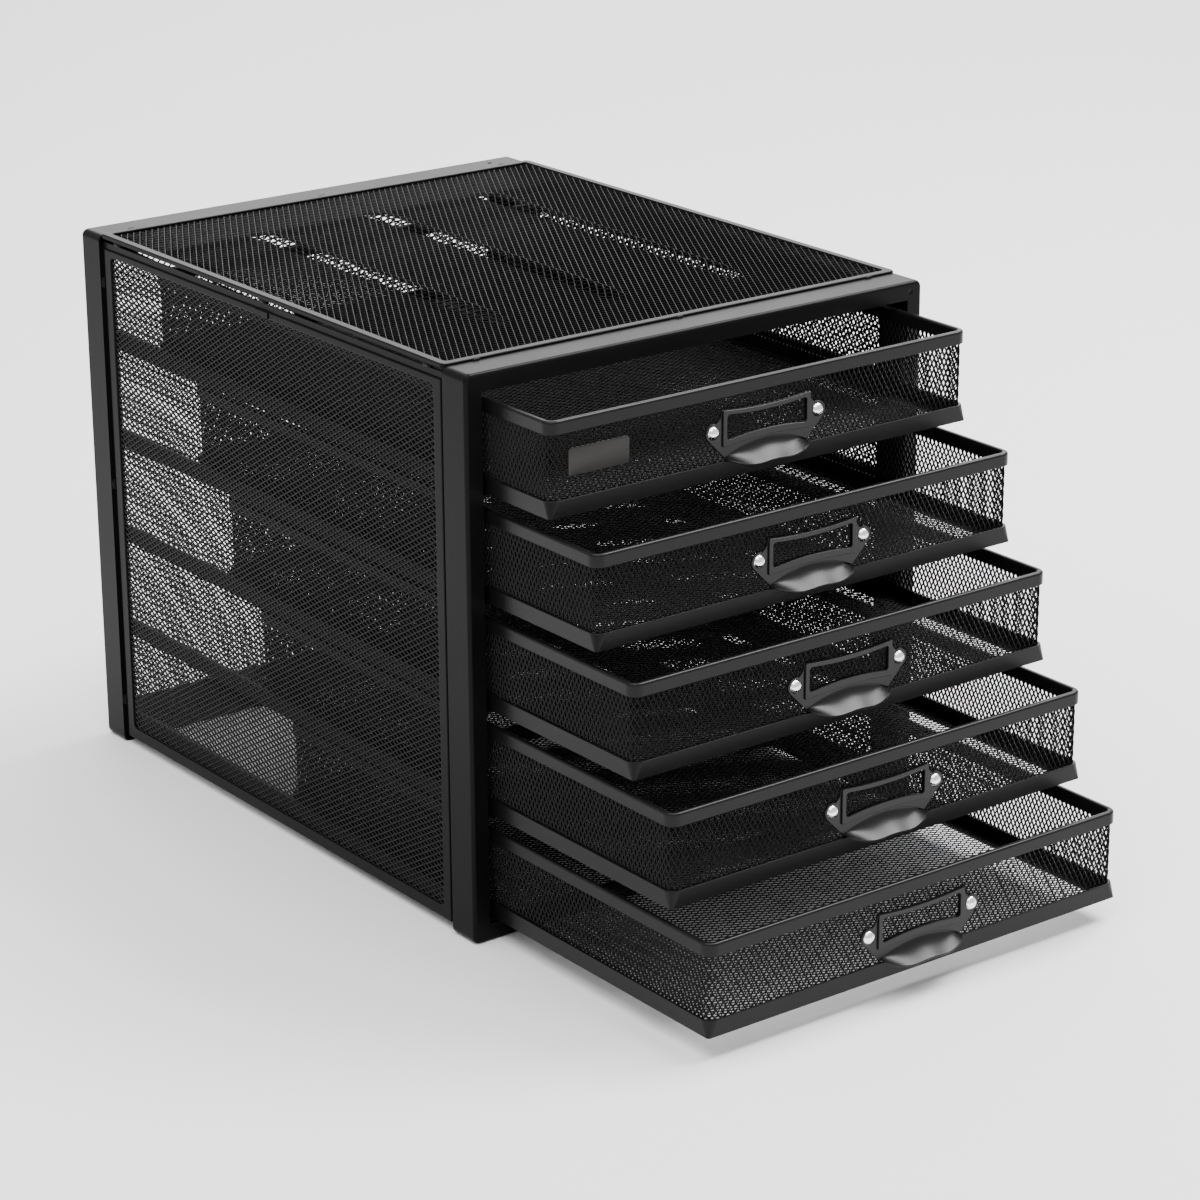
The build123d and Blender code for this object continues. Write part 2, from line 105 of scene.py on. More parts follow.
def finish_mesh(work: bmesh.types.BMesh, name: str, material: bpy.types.Material,
                sharp_angle: float = math.radians(30)) -> bpy.types.Mesh:
    """Close a mesh under construction: smooth, but for its sharp edges, and dressed.

    Args:
        work: The mesh under construction, freed here.
        name: The new mesh's name.
        material: Its finish.
        sharp_angle: Edges that turn by more than this stay sharp.

    Returns:
        The plain mesh.
    """
    mesh = bpy.data.meshes.new(name)
    work.to_mesh(mesh)
    work.free()
    mesh.shade_smooth()
    mesh.set_sharp_from_angle(angle=sharp_angle)
    mesh.materials.append(material)
    return mesh


# ---------------------------------------------------------------- node trees


class Tree:
    """A node tree that is filled in by short calls."""

    def __init__(self, nodes: bpy.types.NodeTree) -> None:
        """Wrap a node tree.

        Args:
            nodes: The tree to fill.
        """
        self.nodes = nodes

    def add(self, kind: str, settings: Optional[dict] = None, **sockets: object) -> bpy.types.Node:
        """Add one node.

        Args:
            kind: The node's type.
            settings: Its own settings, set before its sockets.
            sockets: Values or links by the socket's name, with underscores for spaces,
                or by its place as s0, s1 and so on.

        Returns:
            The new node.
        """
        node = self.nodes.nodes.new(kind)
        for name, value in (settings or {}).items():
            setattr(node, name, value)
        self.fill(node, **sockets)
        return node

    def fill(self, node: bpy.types.Node, **sockets: object) -> None:
        """Give a node's sockets their values or links.

        Args:
            node: The node.
            sockets: Values or links, named as for a new node.
        """
        for name, value in sockets.items():
            if name[0] == "s" and name[1:].isdigit():
                socket = node.inputs[int(name[1:])]
            else:
                socket = node.inputs[name.replace("_", " ")]
            self.feed(socket, value)

    def feed(self, socket: bpy.types.NodeSocket, value: object) -> None:
        """Give a socket a link or a value.

        Args:
            socket: The input socket.
            value: A Value, an output socket, a node for its first output, or a plain value.
        """
        if isinstance(value, Value):
            value = value.socket
        if isinstance(value, bpy.types.Node):
            value = value.outputs[0]
        if isinstance(value, bpy.types.NodeSocket):
            self.nodes.links.new(value, socket)
        else:
            socket.default_value = value

    def blend(self, factor: object, first: Colour, second: Colour) -> bpy.types.NodeSocket:
        """Mix two colours.

        Args:
            factor: How much of the second colour there is, from 0 to 1.
            first: The colour at 0.
            second: The colour at 1.

        Returns:
            The mixed colour.
        """
        return self.add("ShaderNodeMix", {"data_type": "RGBA"}, s0=factor, s6=first, s7=second).outputs[2]

    def noise(self, scale: float, detail: float, place: object) -> "Value":
        """Add a noise.

        Args:
            scale: How fine it is.
            detail: How many finer layers it has.
            place: The coordinates that it is read at.

        Returns:
            Its strength, from 0 to 1.
        """
        noise = self.add("ShaderNodeTexNoise", None, Vector=place, Scale=scale, Detail=detail)
        return Value(self, noise.outputs[0])

    def position(self) -> list["Value"]:
        """Give the three numbers of a point's place."""
        split = self.add("ShaderNodeSeparateXYZ", None, Vector=self.add("GeometryNodeInputPosition"))
        return [Value(self, socket) for socket in split.outputs]

    def vector(self, **numbers: object) -> bpy.types.Node:
        """Join up to three numbers, X, Y and Z, to a vector."""
        return self.add("ShaderNodeCombineXYZ", None, **numbers)

    def vector_math(self, operation: str, **sockets: object) -> bpy.types.Node:
        """Add a Vector Math node.

        Args:
            operation: The node's operation.
            sockets: Values or links, named as for any node.

        Returns:
            The new node.
        """
        return self.add("ShaderNodeVectorMath", {"operation": operation}, **sockets)


class Value:
    """A number in a node tree that can be worked with as an expression."""

    def __init__(self, tree: Tree, socket: bpy.types.NodeSocket) -> None:
        """Wrap an output socket.

        Args:
            tree: The tree that the socket is in.
            socket: The output socket.
        """
        self.tree = tree
        self.socket = socket

    def math(self, operation: str, *values: object) -> "Value":
        """Add a Math node.

        Args:
            operation: The node's operation.
            values: Its inputs in order.

        Returns:
            The node's result.
        """
        sockets = {f"s{place}": value for place, value in enumerate(values)}
        node = self.tree.add("ShaderNodeMath", {"operation": operation}, **sockets)
        return Value(self.tree, node.outputs[0])

    def __add__(self, other: object) -> "Value":
        """Add."""
        return self.math("ADD", self, other)

    def __radd__(self, other: object) -> "Value":
        """Add, from the right."""
        return self.math("ADD", other, self)

    def __sub__(self, other: object) -> "Value":
        """Subtract."""
        return self.math("SUBTRACT", self, other)

    def __rsub__(self, other: object) -> "Value":
        """Subtract, from the right."""
        return self.math("SUBTRACT", other, self)

    def __mul__(self, other: object) -> "Value":
        """Multiply."""
        return self.math("MULTIPLY", self, other)

    def __rmul__(self, other: object) -> "Value":
        """Multiply, from the right."""
        return self.math("MULTIPLY", other, self)

    def __truediv__(self, other: object) -> "Value":
        """Divide."""
        return self.math("DIVIDE", self, other)

    def __mod__(self, other: object) -> "Value":
        """Give the remainder, never negative."""
        return self.math("FLOORED_MODULO", self, other)

    def round(self) -> "Value":
        """Round to the nearest whole number."""
        return self.math("ROUND", self)

    def clamp(self, low: float, high: float) -> "Value":
        """Keep the number between two others."""
        return self.math("MINIMUM", self.math("MAXIMUM", self, low), high)

    def root(self) -> "Value":
        """Give the square root, which is 0 for a negative number."""
        return self.math("SQRT", self.math("MAXIMUM", self, 0.0))

    def distance(self, other: object) -> "Value":
        """Give how far the number is from another."""
        return self.math("ABSOLUTE", self - other)


# ---------------------------------------------------------------- finishes


class Bound(Enum):
    """The record's material slots."""

    FRAME = "black_frame"
    MESH = "black_mesh"
    HANDLE = "black_handle"
    RIVET = "chrome_rivet"


def new_material(name: str) -> tuple[bpy.types.Material, Tree, bpy.types.Node]:
    """Start a material with one shader.

    Args:
        name: The material's name.

    Returns:
        The material, its tree and its shader node.
    """
    material = bpy.data.materials.new(name)
    material.use_nodes = True
    return material, Tree(material.node_tree), material.node_tree.nodes["Principled BSDF"]


@dataclass(frozen=True)
class PowderCoat:
    """Black powder coat: a fine orange peel over steel, duller where it lies thick."""

    name: str
    colour: Colour = (0.0026, 0.0025, 0.0026, 1.0)
    worn_colour: Colour = (0.0055, 0.0053, 0.0052, 1.0)
    specular: float = 0.12
    roughness: float = 0.30
    roughness_spread: float = 0.10
    cloud_scale: float = 26.0
    cloud_detail: float = 3.0
    peel_scale: float = 900.0
    peel_detail: float = 1.0
    peel_height: float = 0.10
    peel_depth: float = 0.4 * MM

    def make(self) -> bpy.types.Material:
        """Build the material.

        Returns:
            The finished material.
        """
        material, tree, shader = new_material(self.name)
        place = tree.add("ShaderNodeTexCoord").outputs["Object"]
        cloud = tree.noise(self.cloud_scale, self.cloud_detail, place)
        peel = tree.noise(self.peel_scale, self.peel_detail, place)
        bump = tree.add("ShaderNodeBump", None, Strength=self.peel_height, Distance=self.peel_depth,
                        Height=peel)
        tree.fill(shader, Base_Color=tree.blend(cloud, self.colour, self.worn_colour),
                  Roughness=self.roughness + (cloud - 0.5) * self.roughness_spread,
                  Specular_IOR_Level=self.specular, Normal=bump)
        return material


@dataclass(frozen=True)
class Chrome:
    """Polished chrome with the faintest haze."""

    name: str
    colour: Colour = (0.96, 0.95, 0.94, 1.0)
    roughness: float = 0.10
    haze: float = 0.08
    haze_scale: float = 700.0
    haze_detail: float = 2.0

    def make(self) -> bpy.types.Material:
        """Build the material.

        Returns:
            The finished material.
        """
        material, tree, shader = new_material(self.name)
        place = tree.add("ShaderNodeTexCoord").outputs["Object"]
        haze = tree.noise(self.haze_scale, self.haze_detail, place)
        tree.fill(shader, Base_Color=self.colour, Metallic=1.0,
                  Roughness=self.roughness + haze * self.haze)
        return material


@dataclass(frozen=True)
class BrushedPlate:
    """Dark nickel with fine lengthwise brushing."""

    name: str
    colour: Colour = (0.030, 0.028, 0.027, 1.0)
    light_colour: Colour = (0.052, 0.050, 0.048, 1.0)
    roughness: float = 0.36
    roughness_spread: float = 0.12
    grain: Triple = (60.0, 2500.0, 2500.0)
    grain_detail: float = 4.0

    def make(self) -> bpy.types.Material:
        """Build the material.

        Returns:
            The finished material.
        """
        material, tree, shader = new_material(self.name)
        place = tree.add("ShaderNodeTexCoord").outputs["Object"]
        drawn_out = tree.add("ShaderNodeMapping", None, Vector=place, Scale=self.grain)
        grain = tree.noise(1.0, self.grain_detail, drawn_out)
        tree.fill(shader, Base_Color=tree.blend(grain, self.colour, self.light_colour), Metallic=1.0,
                  Roughness=self.roughness + grain * self.roughness_spread)
        return material


@dataclass(frozen=True)
class PaleFloor:
    """A plain pale floor with a dull sheen."""

    name: str
    colour: Colour = (0.93, 0.93, 0.93, 1.0)
    roughness: float = 0.7
    specular: float = 0.2

    def make(self) -> bpy.types.Material:
        """Build the material.

        Returns:
            The finished material.
        """
        material, tree, shader = new_material(self.name)
        tree.fill(shader, Base_Color=self.colour, Roughness=self.roughness,
                  Specular_IOR_Level=self.specular)
        return material


@dataclass
class Finishes:
    """Every finish of the cabinet, made once."""

    cabinet: bpy.types.Material = field(init=False)
    drawer: bpy.types.Material = field(init=False)
    mesh: bpy.types.Material = field(init=False)
    handle: bpy.types.Material = field(init=False)
    rivet: bpy.types.Material = field(init=False)
    plate: bpy.types.Material = field(init=False)

    painted: ClassVar[tuple[str, ...]] = ("_frame", "_rim", "_hem", "_base", "_welds")

    def __post_init__(self) -> None:
        """Make the materials."""
        self.cabinet = PowderCoat("satin_black_coat", specular=0.06).make()
        self.drawer = PowderCoat("drawer_black_coat", specular=0.16).make()
        self.mesh = PowderCoat("mesh_black_coat", roughness=0.34, peel_scale=1400.0,
                               peel_height=0.05).make()
        self.handle = PowderCoat("handle_black_coat", specular=0.26, peel_height=0.04).make()
        self.rivet = Chrome("rivet_chrome").make()
        self.plate = BrushedPlate("bare_brushed_plate").make()

    def dress_steel(self) -> None:
        """Give the folded steel that comes with the frame its powder coat."""
        dressed = [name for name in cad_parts
                   if name.startswith("runner_") or name.endswith(self.painted)]
        for name in dressed:
            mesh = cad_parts[name].data
            mesh.materials.clear()
            mesh.materials.append(self.drawer if name.startswith("drawer_") else self.cabinet)
        log.info("powder coat: %d pieces", len(dressed))


# ---------------------------------------------------------------- expanded metal


@dataclass(frozen=True)
class Weave:
    """The sizes of one expanded metal, its diamonds and strands, named as the tree's inputs."""

    short_way: float
    long_way: float
    strand_width: float
    strand_thickness: float
    strand_turn: float


@dataclass(frozen=True)
class Beads:
    """The sizes of the top sheet's three pressed beads, named as the tree's inputs."""

    bead_spacing: float = 70.0 * MM
    bead_half_width: float = 4.5 * MM
    bead_half_length: float = 109.0 * MM
    bead_taper: float = 14.0 * MM
    bead_lift: float = 2.85 * MM


@dataclass
class ExpandedMetal:
    """The node tree that makes a sheet of expanded metal, flat or wrapped round a drawer.

    The sheet lies in X and Y with its diamonds' long way along Y.  Ribbons run along Y, each
    a zigzag, and meet their neighbours at the bonds.
    """

    name: str = "expanded_metal"
    corner_steps: int = 6
    group: bpy.types.NodeTree = field(init=False)
    tree: Tree = field(init=False)
    given: bpy.types.Node = field(init=False)
    keys: dict[str, str] = field(init=False)

    # Harmless sizes for the parts of the tree that a sheet has no need of.
    idle: ClassVar[dict[str, float]] = {
        "wrap_width": 200.0 * MM, "wrap_length": 300.0 * MM, "wrap_corner": 4.0 * MM,
        "bead_spacing": 1.0, "bead_half_width": 1.0 * MM, "bead_half_length": 1.0 * MM,
        "bead_taper": 1.0 * MM, "bead_lift": 0.0}
    inputs: ClassVar[dict[str, str]] = {
        "ribbon_pairs": "Int", "steps": "Int", "wrapped": "Bool", "finish": "Material",
        **dict.fromkeys((size.name for size in fields(Weave)), "Float"), **dict.fromkeys(idle, "Float")}

    def __post_init__(self) -> None:
        """Build the tree once, with an input for every size."""
        self.group = bpy.data.node_groups.new(self.name, "GeometryNodeTree")
        face = self.group.interface
        face.new_socket("Geometry", in_out="OUTPUT", socket_type="NodeSocketGeometry")
        self.keys = {}
        for name, kind in self.inputs.items():
            socket = face.new_socket(name, in_out="INPUT", socket_type=f"NodeSocket{kind}")
            self.keys[name] = socket.identifier
        self.tree = Tree(self.group)
        self.given = self.tree.add("NodeGroupInput")
        self.build()

    def size(self, name: str) -> Value:
        """Give one of the tree's inputs as a number to work with."""
        return Value(self.tree, self.given.outputs[name])

    def ribbon(self, side: float) -> bpy.types.Node:
        """Make one zigzag ribbon.

        Args:
            side: 1 or -1, the way the zigzag starts.

        Returns:
            The node that gives the ribbon.
        """
        tree = self.tree
        half_long = self.size("long_way") / 2.0
        line = tree.add("GeometryNodeMeshLine", None, Count=self.size("steps"),
                        Offset=tree.vector(Y=half_long))
        path = tree.add("GeometryNodeMeshToCurve", None, Mesh=line)
        strip = tree.add("GeometryNodeCurvePrimitiveQuadrilateral", None,
                         Width=self.size("strand_width"), Height=self.size("strand_thickness"))
        turned = tree.add("GeometryNodeTransform", None, Geometry=strip,
                          Rotation=tree.vector(Z=self.size("strand_turn")))
        tube = tree.add("GeometryNodeCurveToMesh", None, Curve=path, Profile_Curve=turned,
                        Fill_Caps=True)
        _, y, _ = tree.position()
        row = (y / half_long).round()
        swing = ((row % 2.0) - 0.5) * (self.size("short_way") / 2.0) * side
        return tree.add("GeometryNodeSetPosition", None, Geometry=tube, Offset=tree.vector(X=swing))

    def sheet(self) -> bpy.types.Node:
        """Set ribbons side by side, in pairs that mirror each other.

        Returns:
            The node that gives the flat sheet.
        """
        tree = self.tree
        short = self.size("short_way")
        pair = tree.add("GeometryNodeJoinGeometry")
        for side, share in ((1.0, 0.25), (-1.0, 0.75)):
            ribbon = tree.add("GeometryNodeTransform", None, Geometry=self.ribbon(side),
                              Translation=tree.vector(X=short * share))
            tree.feed(pair.inputs[0], ribbon)
        places = tree.add("GeometryNodeMeshLine", None, Count=self.size("ribbon_pairs"),
                          Offset=tree.vector(X=short))
        spread = tree.add("GeometryNodeInstanceOnPoints", None, Points=places, Instance=pair)
        return tree.add("GeometryNodeRealizeInstances", None, Geometry=spread)

    def beads(self, flat: bpy.types.Node) -> bpy.types.Node:
        """Press three long beads up out of a flat sheet.

        Args:
            flat: The node that gives the sheet, centred on the origin.

        Returns:
            The node that gives the pressed sheet.
        """
        x, y, _ = self.tree.position()
        spacing = self.size("bead_spacing")
        nearest = (x / spacing).round().clamp(-1.0, 1.0)
        off = x.distance(nearest * spacing) / self.size("bead_half_width")
        ends = (self.size("bead_half_length") - y.distance(0.0)) / self.size("bead_taper")
        lift = (1.0 - off * off).root() * ends.clamp(0.0, 1.0) * self.size("bead_lift")
        return self.tree.add("GeometryNodeSetPosition", None, Geometry=flat,
                             Offset=self.tree.vector(Z=lift))

    def wrap(self, flat: bpy.types.Node) -> bpy.types.Node:
        """Wrap a strip round a rounded rectangle, its Y upwards and its Z outwards.

        Args:
            flat: The node that gives the strip.

        Returns:
            The node that gives the standing wall.
        """
        tree = self.tree
        along, up, out = tree.position()
        plan = tree.add("GeometryNodeCurvePrimitiveQuadrilateral", None,
                        Width=self.size("wrap_width"), Height=self.size("wrap_length"))
        rounded = tree.add("GeometryNodeFilletCurve", {"mode": "POLY"}, Curve=plan,
                           Radius=self.size("wrap_corner"), Count=self.corner_steps)
        length = Value(tree, tree.add("GeometryNodeCurveLength", None, Curve=rounded).outputs[0])
        sample = tree.add("GeometryNodeSampleCurve", {"mode": "LENGTH"}, Curves=rounded,
                          Length=along % length)
        across = tree.vector_math("CROSS_PRODUCT", s0=sample.outputs["Tangent"], s1=(0.0, 0.0, 1.0))
        outward = tree.vector_math("NORMALIZE", s0=across)
        moved_out = tree.vector_math("SCALE", s0=outward, Scale=out)
        foot = tree.vector_math("ADD", s0=sample.outputs["Position"], s1=moved_out)
        risen = tree.vector_math("ADD", s0=foot, s1=tree.vector(Z=up))
        return tree.add("GeometryNodeSetPosition", None, Geometry=flat, Position=risen)

    def build(self) -> None:
        """Fill the tree: one sheet, centred and pressed, or wrapped, with its finish."""
        tree = self.tree
        flat = self.sheet()
        width = self.size("ribbon_pairs") * self.size("short_way")
        height = (self.size("steps") - 1.0) * self.size("long_way") / 2.0
        centred = tree.add("GeometryNodeTransform", None, Geometry=flat,
                           Translation=tree.vector(X=width * -0.5, Y=height * -0.5))
        chosen = tree.add("GeometryNodeSwitch", {"input_type": "GEOMETRY"},
                          s0=self.given.outputs["wrapped"], s1=self.beads(centred), s2=self.wrap(flat))
        whole = tree.add("GeometryNodeRealizeInstances", None, Geometry=chosen)
        dressed = tree.add("GeometryNodeSetMaterial", None, Geometry=whole,
                           Material=self.given.outputs["finish"])
        tree.feed(tree.add("NodeGroupOutput").inputs[0], dressed)

    def make(self, name: str, weave: Weave, pairs: int, steps: int, finish: bpy.types.Material,
             **sizes: float) -> bpy.types.Mesh:
        """Run the tree once and keep its mesh.

        Args:
            name: The mesh's name.
            weave: The diamonds and strands.
            pairs: How many pairs of ribbons lie side by side.
            steps: How many bonds a ribbon has along its length.
            finish: The material.
            sizes: Any other input by its name.

        Returns:
            A plain mesh.
        """
        holder = bpy.data.objects.new("weaver", bpy.data.meshes.new("weaver"))
        bpy.context.scene.collection.objects.link(holder)
        modifier = holder.modifiers.new("weave", "NODES")
        modifier.node_group = self.group
        values = {**self.idle, **asdict(weave), "ribbon_pairs": pairs, "steps": steps,
                  "finish": finish, "wrapped": False, **sizes}
        for size, value in values.items():
            modifier[self.keys[size]] = value
        evaluated = holder.evaluated_get(bpy.context.evaluated_depsgraph_get())
        mesh = bpy.data.meshes.new_from_object(evaluated)
        holder.modifiers.remove(modifier)
        bpy.data.objects.remove(holder)
        mesh.name = name
        return mesh


def add_piece(name: str, mesh: bpy.types.Mesh, body: str,
              replaced: Sequence[str] = ()) -> bpy.types.Object:
    """Put a finished mesh into the scene.

    Args:
        name: The piece's name.
        mesh: Its mesh, already in place.
        body: The body that it rides on.
        replaced: The nodes that it stands for.

    Returns:
        The new object.
    """
    piece = bpy.data.objects.new(name, mesh)
    bpy.context.scene.collection.objects.link(piece)
    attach(piece, body)
    if replaced:
        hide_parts(*replaced)
    return piece


@dataclass
class MeshPanels:
    """The expanded metal in the top, the sides and the back of the cabinet."""

    metal: ExpandedMetal
    finish: bpy.types.Material
    top_weave: Weave = Weave(3.6 * MM, 6.2 * MM, 1.10 * MM, 0.40 * MM, math.radians(43))
    side_weave: Weave = Weave(3.04 * MM, 5.3 * MM, 0.98 * MM, 0.40 * MM, math.radians(24))
    back_weave: Weave = Weave(3.6 * MM, 6.2 * MM, 0.95 * MM, 0.40 * MM, math.radians(15))
    tuck: float = 1.0 * MM
    bead_sizes: Beads = Beads()
    bead_middle: float = 160.0 * MM

    def panel(self, name: str, weave: Weave, axes: str, place: Matrix, **sizes: float) -> None:
        """Weave one panel and put it in place of its node.

        Args:
            name: The panel's name, which its node's name starts with.
            weave: Its diamonds and strands.
            axes: The axes that the diamonds' short and long ways lie along, such as "xy".
            place: How the flat sheet, centred on the origin, is turned and moved.
            sizes: Any other input of the tree.
        """
        low, high = node_size(f"{name}_mesh")
        across, along = (getattr(high, axis) - getattr(low, axis) - self.tuck for axis in axes)
        pairs = math.floor(across / weave.short_way)
        steps = math.floor(2 * along / weave.long_way) + 1
        mesh = self.metal.make(f"{name}_panel_mesh", weave, pairs, steps, self.finish, **sizes)
        mesh.transform(place)
        add_piece(f"{name}_panel_mesh", mesh, "cabinet", [f"{name}_mesh"])
        log.info("%s mesh: %d faces", name, len(mesh.polygons))

    def top(self) -> None:
        """Make the top sheet with its three pressed beads."""
        low, high = node_size("top_mesh")
        middle = (low + high) / 2
        place = Matrix.Translation((middle.x, self.bead_middle, low.z + SHEET_MIDDLE))
        self.panel("top", self.top_weave, "xy", place, **asdict(self.bead_sizes))

    def sides(self) -> None:
        """Make both side sheets, their diamonds lying along the cabinet."""
        stand = Matrix.Rotation(QUARTER_TURN, 4, "Y")
        for name, quarters in (("left", 0), ("right", 2)):
            facing = Matrix.Rotation(quarters * QUARTER_TURN, 4, "Z")
            self.panel(name, self.side_weave, "zy", to_middle(f"{name}_mesh") @ facing @ stand)

    def back(self) -> None:
        """Make the back sheet, its diamonds lying across the cabinet."""
        # The flat sheet's X comes to stand along Z, its Y along X and its Z along Y.
        stand = Matrix(((0, 1, 0), (0, 0, 1), (1, 0, 0))).to_4x4()
        self.panel("back", self.back_weave, "zx", to_middle("back_mesh") @ stand)


@dataclass
class DrawerMesh:
    """The expanded metal walls and floors of the drawers."""

    metal: ExpandedMetal
    finish: bpy.types.Material
    weave: Weave = Weave(2.9 * MM, 5.3 * MM, 0.85 * MM, 0.42 * MM, math.radians(38))
    corner: float = 4.0 * MM
    foot_gap: float = 1.0 * MM

    def walls(self) -> None:
        """Weave one strip that closes on itself and set a copy of it round each drawer."""
        low, high = node_size("drawer_1_walls")
        width = high.x - low.x - 2 * SHEET_MIDDLE
        length = high.y - low.y - 2 * SHEET_MIDDLE
        # A round corner is shorter than the two straight ends that it stands for.
        cut_corners = (8 - math.tau) * self.corner
        round_way = 2 * (width + length) - cut_corners
        pairs = round(round_way / self.weave.short_way)
        weave = replace(self.weave, short_way=round_way / pairs)
        steps = math.floor(2 * (high.z - low.z - self.foot_gap) / weave.long_way) + 1
        strip = self.metal.make("drawer_wall_strip", weave, pairs, steps, self.finish, wrapped=True,
                                wrap_width=width, wrap_length=length, wrap_corner=self.corner)
        for drawer in DRAWERS:
            low, high = node_size(f"{drawer}_walls")
            foot = ((low.x + high.x) / 2, (low.y + high.y) / 2, low.z + self.foot_gap)
            mesh = strip.copy()
            mesh.transform(Matrix.Translation(foot))
            add_piece(f"{drawer}_wall_mesh", mesh, drawer, [f"{drawer}_walls"])
        log.info("drawer walls: %d faces each", len(strip.polygons))
        bpy.data.meshes.remove(strip)

    def floors(self) -> None:
        """Weave one floor, its diamonds lying across the drawer, and lay a copy in each drawer."""
        low, high = node_size("drawer_1_floor")
        pairs = math.floor((high.y - low.y) / self.weave.short_way)
        steps = math.floor(2 * (high.x - low.x) / self.weave.long_way) + 1
        sheet = self.metal.make("drawer_floor_sheet", self.weave, pairs, steps, self.finish)
        sheet.transform(Matrix.Rotation(QUARTER_TURN, 4, "Z"))
        for drawer in DRAWERS:
            mesh = sheet.copy()
            mesh.transform(to_middle(f"{drawer}_floor"))
            add_piece(f"{drawer}_floor_mesh", mesh, drawer, [f"{drawer}_floor"])
        log.info("drawer floors: %d faces each", len(sheet.polygons))
        bpy.data.meshes.remove(sheet)


# ---------------------------------------------------------------- handles and plate


def heading(angle: float) -> Vector:
    """Give the flat vector of length 1 that points at an angle."""
    return Vector((math.cos(angle), math.sin(angle)))


def mirrored(points: Sequence[Vector]) -> list[Vector]:
    """Mirror flat points from one side to the other, in reverse order."""
    return [Vector((-point.x, point.y)) for point in reversed(points)]


@dataclass(frozen=True)
class Profile:
    """Helpers that sample the flat outlines of the pressed handle, in millimetres."""

    steps: int = 14
    corner_steps: int = 6

    def arc(self, start: Vector, through: Vector, end: Vector) -> list[Vector]:
        """Sample the arc through three flat points, without its end.

        Args:
            start: The first point.
            through: A point between them.
            end: The last point.

        Returns:
            Points from the first one on, without the last.
        """
        a, b, c = start, through, end
        turn = 2 * (a.x * (b.y - c.y) + b.x * (c.y - a.y) + c.x * (a.y - b.y))
        middle = Vector(((a.length_squared * (b.y - c.y) + b.length_squared * (c.y - a.y)
                          + c.length_squared * (a.y - b.y)) / turn,
                         (a.length_squared * (c.x - b.x) + b.length_squared * (a.x - c.x)
                          + c.length_squared * (b.x - a.x)) / turn))
        first, between, last = (math.atan2(point.y - middle.y, point.x - middle.x)
                                for point in (a, b, c))
        sweep = (last - first) % math.tau
        if (between - first) % math.tau > sweep:
            sweep -= math.tau
        radius = (a - middle).length
        return [middle + radius * heading(first + sweep * i / self.steps) for i in range(self.steps)]

    @staticmethod
    def bowed(level: float, bow: float, share: float) -> float:
        """Give the height of a bowed edge, which is level at its ends, at a share of its half."""
        return level + bow * (1 - share ** 2)

    def panel(self, half: float, bottom: float, top: float, bottom_bow: float, top_bow: float,
              corner: float) -> list[Vector]:
        """Outline a panel with bowed edges and round corners, anticlockwise.

        Args:
            half: Its half width.
            bottom: Height of its lower corners.
            top: Height of its upper corners.
            bottom_bow: How far the lower edge rises in the middle.
            top_bow: How far the upper edge sinks in the middle.
            corner: Radius of its corners.

        Returns:
            The outline's points.
        """
        reach = half - corner
        stops = [reach * i / self.steps for i in range(self.steps + 1)]
        lower = [Vector((x, self.bowed(bottom, bottom_bow, x / half))) for x in stops]
        upper = [Vector((x, self.bowed(top, -top_bow, x / half))) for x in stops]
        right = list(lower)
        for middle, start in ((lower[-1] + Vector((0, corner)), -90), (upper[-1] - Vector((0, corner)), 0)):
            for step in range(1, self.corner_steps + 1):
                turn = math.radians(start + 90 * step / self.corner_steps)
                right.append(middle + corner * heading(turn))
        right += upper[-2::-1]
        return right + mirrored(right[1:-1])

    @staticmethod
    def inset(outline: Sequence[Vector], distance: float) -> list[Vector]:
        """Move an anticlockwise outline inwards.

        Args:
            outline: Its points.
            distance: How far it moves; negative is outwards.

        Returns:
            The moved points.
        """
        moved = []
        for index, point in enumerate(outline):
            before = (point - outline[index - 1]).normalized()
            after = (outline[(index + 1) % len(outline)] - point).normalized()
            inward = Vector((-before.y - after.y, before.x + after.x))
            moved.append(point + inward.normalized() * distance * 2 / max(inward.length, 1.0))
        return moved


